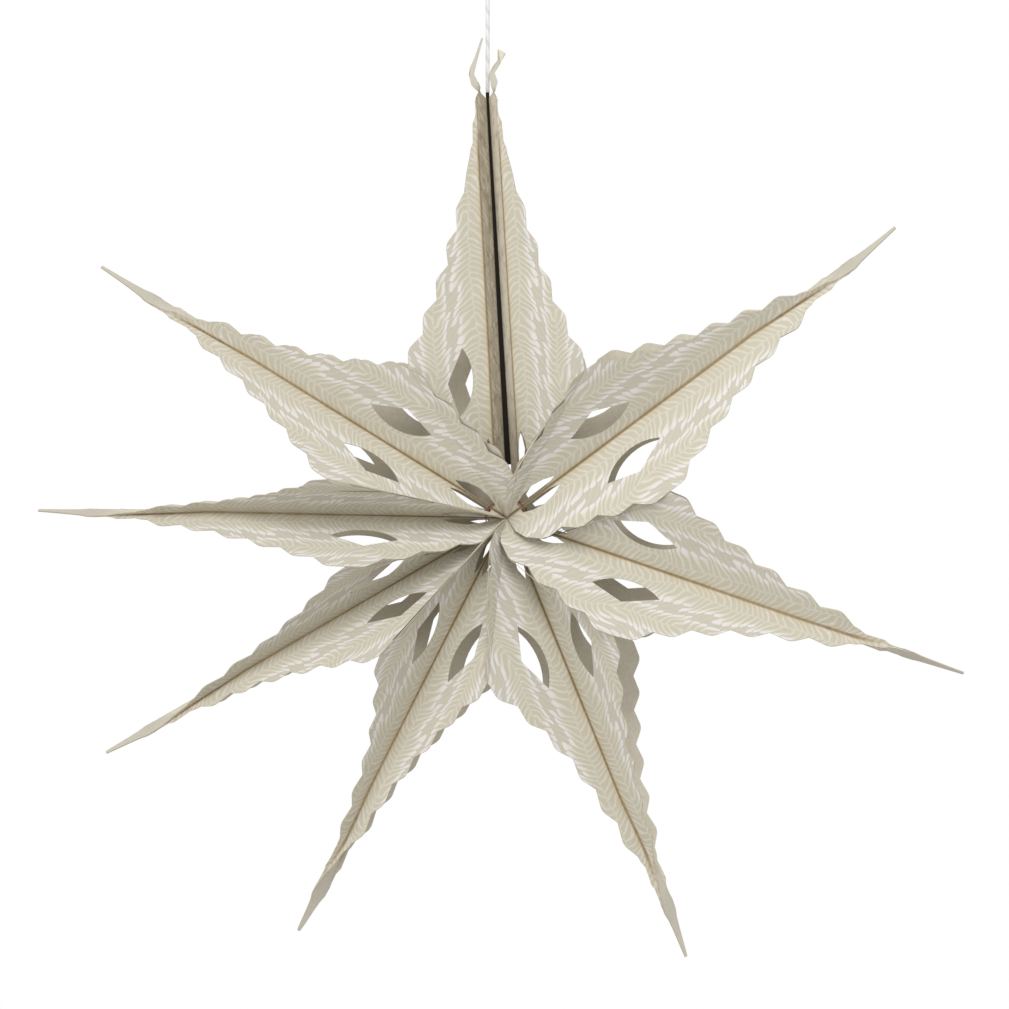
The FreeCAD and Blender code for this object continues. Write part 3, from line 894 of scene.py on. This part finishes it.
def tube(name, points, radius, closed, material, strands=2, pitch=3.0, steps=10):
    """A twisted round thread along a path, as a mesh, in millimetres."""
    points = [np.array(point, dtype=float) for point in points]
    if closed:
        points.append(points[0])
    sizes = [np.linalg.norm(b - a) for a, b in zip(points, points[1:])]
    reached = np.concatenate([[0], np.cumsum(sizes)])
    count = max(8, int(reached[-1] / TUBE_STEP))
    places = np.linspace(0, reached[-1], count + 1)
    line = np.stack([np.interp(places, reached, [p[i] for p in points]) for i in range(3)], axis=1)
    if closed:
        line = line[:-1]
        ahead = np.roll(line, -1, axis=0) - np.roll(line, 1, axis=0)
    else:
        ahead = np.gradient(line, axis=0)
    ahead /= np.linalg.norm(ahead, axis=1)[:, None]
    first = np.cross(ahead, np.array((0.31, 1.0, 0.17)))
    first /= np.linalg.norm(first, axis=1)[:, None]
    second = np.cross(ahead, first)
    verts, faces = [], []
    for i, at in enumerate(line):
        twist = 2 * math.pi * places[i] / pitch
        for j in range(steps):
            turn = 2 * math.pi * j / steps
            size = radius * (1 - STRAND_DEPTH + STRAND_DEPTH * math.cos(strands * turn + twist))
            verts.append((at + (first[i] * math.cos(turn) + second[i] * math.sin(turn)) * size) * MM)
    rings = len(line)
    for i in range(rings if closed else rings - 1):
        for j in range(steps):
            k, m = (j + 1) % steps, (i + 1) % rings
            faces.append((i * steps + j, i * steps + k, m * steps + k, m * steps + j))
    if not closed:
        faces.append(tuple(reversed(range(steps))))
        faces.append(tuple(range((rings - 1) * steps, rings * steps)))
    mesh = bpy.data.meshes.new(name)
    mesh.from_pydata([tuple(v) for v in verts], [], faces)
    mesh.polygons.foreach_set("use_smooth", np.ones(len(mesh.polygons), dtype=bool))
    mesh.materials.append(material)
    piece = add_object(name, mesh)
    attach(piece, "root")
    return piece


def make_threads():
    for face, name in ((1, "front_binding_thread"), (-1, "back_binding_thread")):
        middle = CENTRE - BACK * (face * (STRIP_HALF + PAPER + THREAD_GAP + THREAD_DIAMETER / 2))
        corners = ring_corners(middle, THREAD_RADIUS)
        piece = tube("binding_" + name, corners, THREAD_DIAMETER / 2, True, red_thread)
        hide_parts(name)


def make_loop():
    """The loop over the knot, and the knot as a few turns of the same cord."""
    middle = np.array((0, 0, CORD_ABOVE + KNOT_HEIGHT / 2 + LOOP_RADIUS))
    turns = np.linspace(-math.pi / 2 + 0.2, 1.5 * math.pi - 0.2, 60)
    points = [middle + np.array((math.cos(t), 0, math.sin(t))) * LOOP_RADIUS for t in turns]
    loop = tube("loop", points, CORD_DIAMETER / 2, False, white_cord, **CORD_TWIST)
    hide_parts("cord_loop")
    knot_middle = np.array((0, 0, CORD_ABOVE + KNOT_HEIGHT / 2))
    turns = np.linspace(0, 2 * math.pi, 90)
    wide, deep, tall = KNOT_SPREAD
    points = [
        knot_middle + np.array((
            (math.sin(t) + 2 * math.sin(2 * t)) * wide,
            math.sin(3 * t) * deep,
            (math.cos(t) - 2 * math.cos(2 * t)) * tall,
        ))
        for t in turns[:-1]
    ]
    knot = tube("knot", points, CORD_DIAMETER / 2, True, white_cord, **CORD_TWIST)
    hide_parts("cord_knot")
    return [knot, loop]


make_threads()
cord_piece(make_loop())
# Painted shade: the near-black tape at the slot's foot darkens the slot as its deep shadow
for slot in bpy.data.objects["closing_tape"].material_slots:
    slot.material = painted_shade_tape

# Camera: the photograph's centre lies at VIEW_CENTRE in the plane of the star
VIEW_CENTRE = (11.25, 0.0, -260.3)
PICTURE_HEIGHT = 630.6
CAMERA_DISTANCE = 2200.0
CAMERA_YAW = math.radians(5.0)
CAMERA_PITCH = math.radians(1.5)
SENSOR_WIDTH = 36.0

# Lamps and floor, in metres
STAR_MIDDLE = (0.0, 0.0, -0.27)
FLOOR_HALF_WIDTH = 1.5
FLOOR_HEIGHT = -2.3
AMBIENT = (1.0, 0.99, 0.97, 1)
AMBIENT_STRENGTH = 0.72


def make_camera():
    data = bpy.data.cameras.new("camera")
    data.sensor_width = SENSOR_WIDTH
    data.lens = SENSOR_WIDTH / (PICTURE_HEIGHT / CAMERA_DISTANCE)
    camera = add_object("camera", data)
    target = Vector((VIEW_CENTRE[0], CENTRE[1], VIEW_CENTRE[2])) * MM
    away = Vector((
        math.sin(CAMERA_YAW) * math.cos(CAMERA_PITCH),
        -math.cos(CAMERA_YAW) * math.cos(CAMERA_PITCH),
        math.sin(CAMERA_PITCH),
    ))
    camera.location = target + away * CAMERA_DISTANCE * MM
    camera.rotation_euler = (-away).to_track_quat("-Z", "Y").to_euler()
    bpy.context.scene.camera = camera


def area_light(name, place, size, watts):
    """A white lamp that is aimed at the middle of the star."""
    data = bpy.data.lights.new(name, "AREA")
    data.size = size
    data.energy = watts
    lamp = add_object(name, data)
    lamp.location = place
    lamp.rotation_euler = (Vector(STAR_MIDDLE) - Vector(place)).to_track_quat("-Z", "Y").to_euler()


def make_world():
    """White where the camera, a gloss or glass looks past the star, and a plain grey light otherwise."""
    world = bpy.data.worlds.new("studio")
    bpy.context.scene.world = world
    world.use_nodes = True
    nodes, links = world.node_tree.nodes, world.node_tree.links
    nodes.clear()
    path = nodes.new("ShaderNodeLightPath")
    seen = path.outputs["Is Camera Ray"]
    for kind in ("Is Glossy Ray", "Is Transmission Ray"):
        either = nodes.new("ShaderNodeMath")
        either.operation = "MAXIMUM"
        links.new(seen, either.inputs[0])
        links.new(path.outputs[kind], either.inputs[1])
        seen = either.outputs[0]
    ambient = nodes.new("ShaderNodeBackground")
    ambient.inputs["Color"].default_value = AMBIENT
    ambient.inputs["Strength"].default_value = AMBIENT_STRENGTH
    white = nodes.new("ShaderNodeBackground")
    white.inputs["Color"].default_value = (1, 1, 1, 1)
    mix = nodes.new("ShaderNodeMixShader")
    links.new(seen, mix.inputs["Fac"])
    links.new(ambient.outputs[0], mix.inputs[1])
    links.new(white.outputs[0], mix.inputs[2])
    out = nodes.new("ShaderNodeOutputWorld")
    links.new(mix.outputs[0], out.inputs["Surface"])


def make_floor():
    """A plain pale floor, as far below the hanging star as in a room, out of the camera's view."""
    turns = ((-1, -1), (1, -1), (1, 1), (-1, 1))
    corners = [(x * FLOOR_HALF_WIDTH, y * FLOOR_HALF_WIDTH, FLOOR_HEIGHT) for x, y in turns]
    mesh = bpy.data.meshes.new("floor")
    mesh.from_pydata(corners, [], [(0, 1, 2, 3)])
    mesh.materials.append(new_material("pale_floor", (0.75, 0.75, 0.74))[0])
    floor = add_object("floor", mesh)


make_camera()
make_world()
make_floor()
area_light("back", (0.6, 2.0, 0.9), size=1.6, watts=14)
area_light("key", (0.4, -1.9, 1.3), size=1.4, watts=34)
area_light("fill", (-1.6, -1.5, -0.3), size=1.6, watts=12)
bpy.context.scene.view_settings.view_transform = "Standard"
